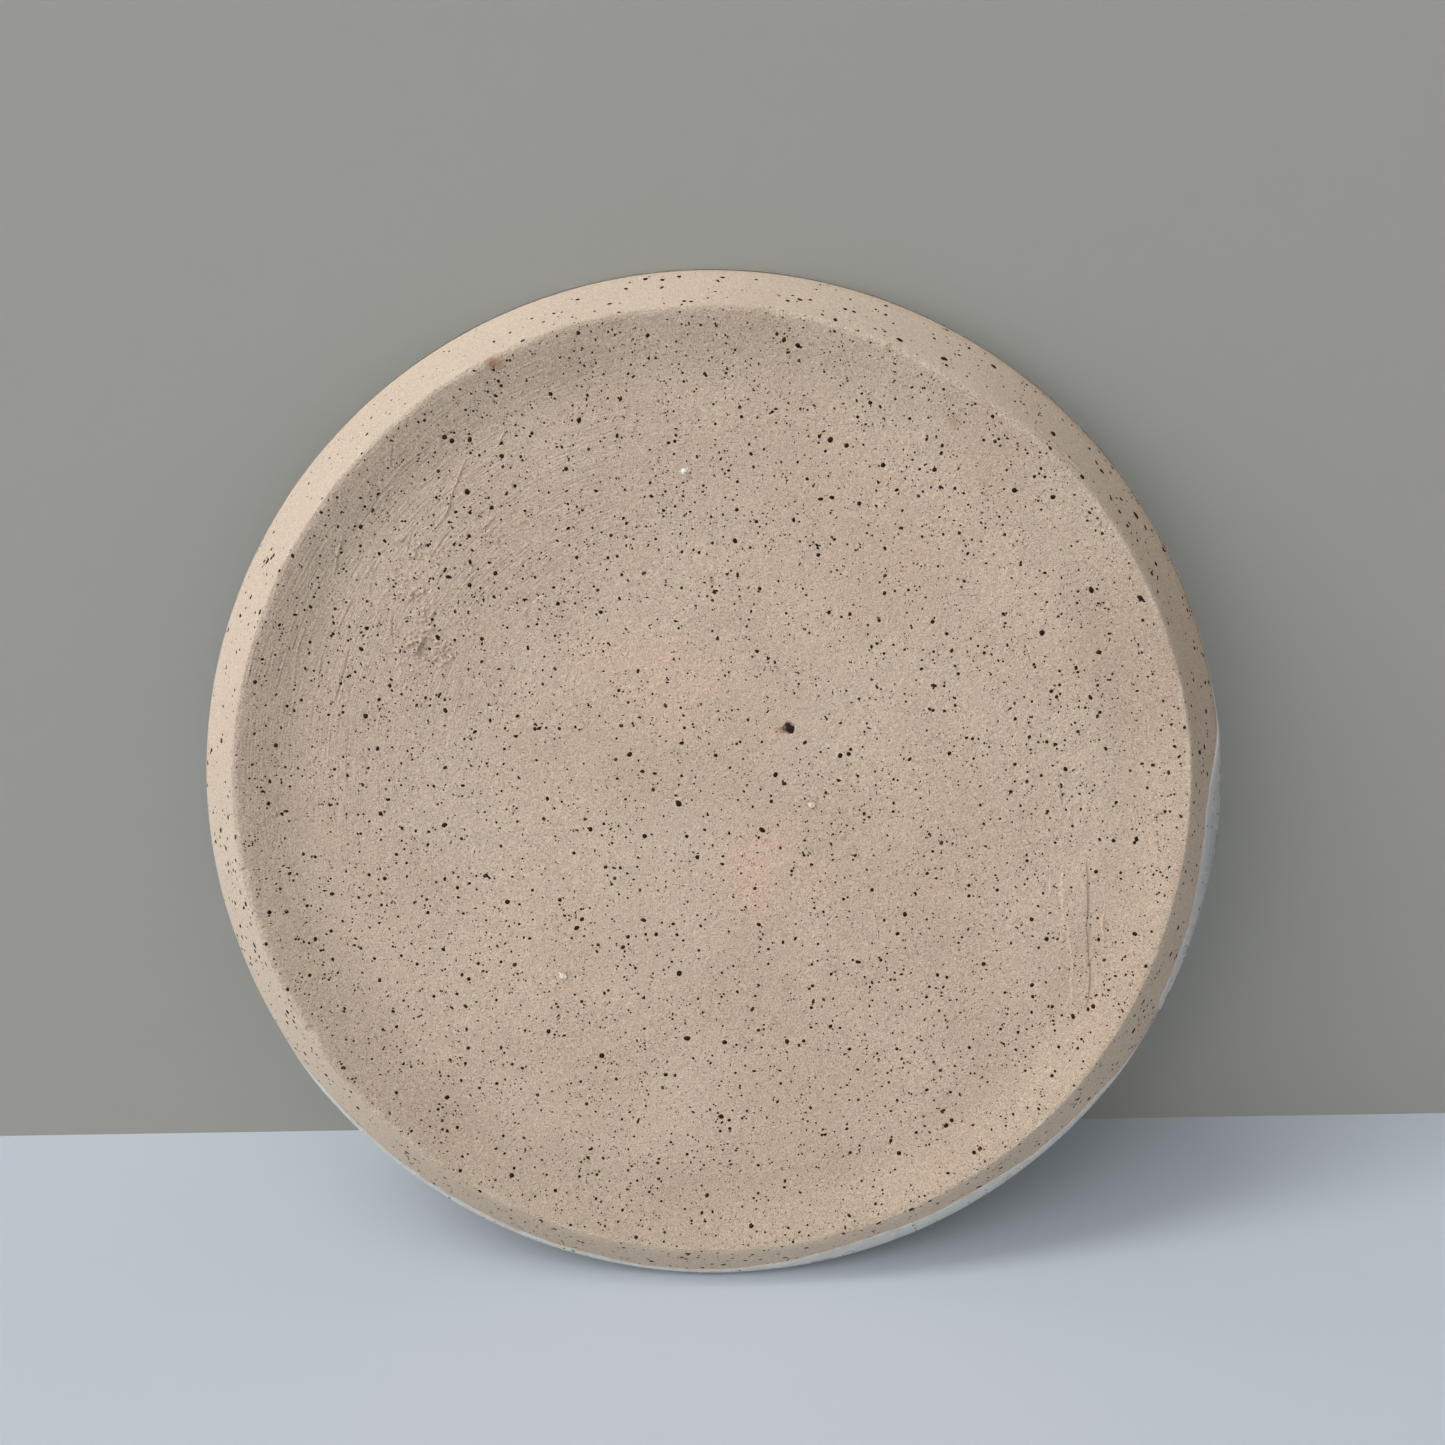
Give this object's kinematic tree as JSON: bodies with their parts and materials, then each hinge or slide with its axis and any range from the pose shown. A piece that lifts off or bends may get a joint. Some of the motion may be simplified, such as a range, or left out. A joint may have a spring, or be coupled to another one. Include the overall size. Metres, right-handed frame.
{
  "type": "stoneware plate",
  "caption": "Round shallow stoneware plate with a bare speckled underside, a flared outer wall and a glazed well for serving food.",
  "frame": {"origin": "centre of the circle the plate stands on, in the plane of its foot", "axes": "+Z along the plate's axis, up out of the well; the longest run of glaze on the outside is towards -X"},
  "size_m": [0.2712, 0.2712, 0.0141],
  "materials": {
    "bare_clay": "matt, bare fired stoneware",
    "white_glaze": "satin white glaze over speckled clay",
    "iron": "dark, slightly glossy iron oxide",
    "grit": "matt, pale and crumbly"
  },
  "bodies": {
    "root": {"clay_body": "bare_clay", "glaze_coat": "white_glaze", "iron_nodules": "iron", "burst_nodule": "iron", "kiln_grit": "grit"}
  },
  "joints": []
}
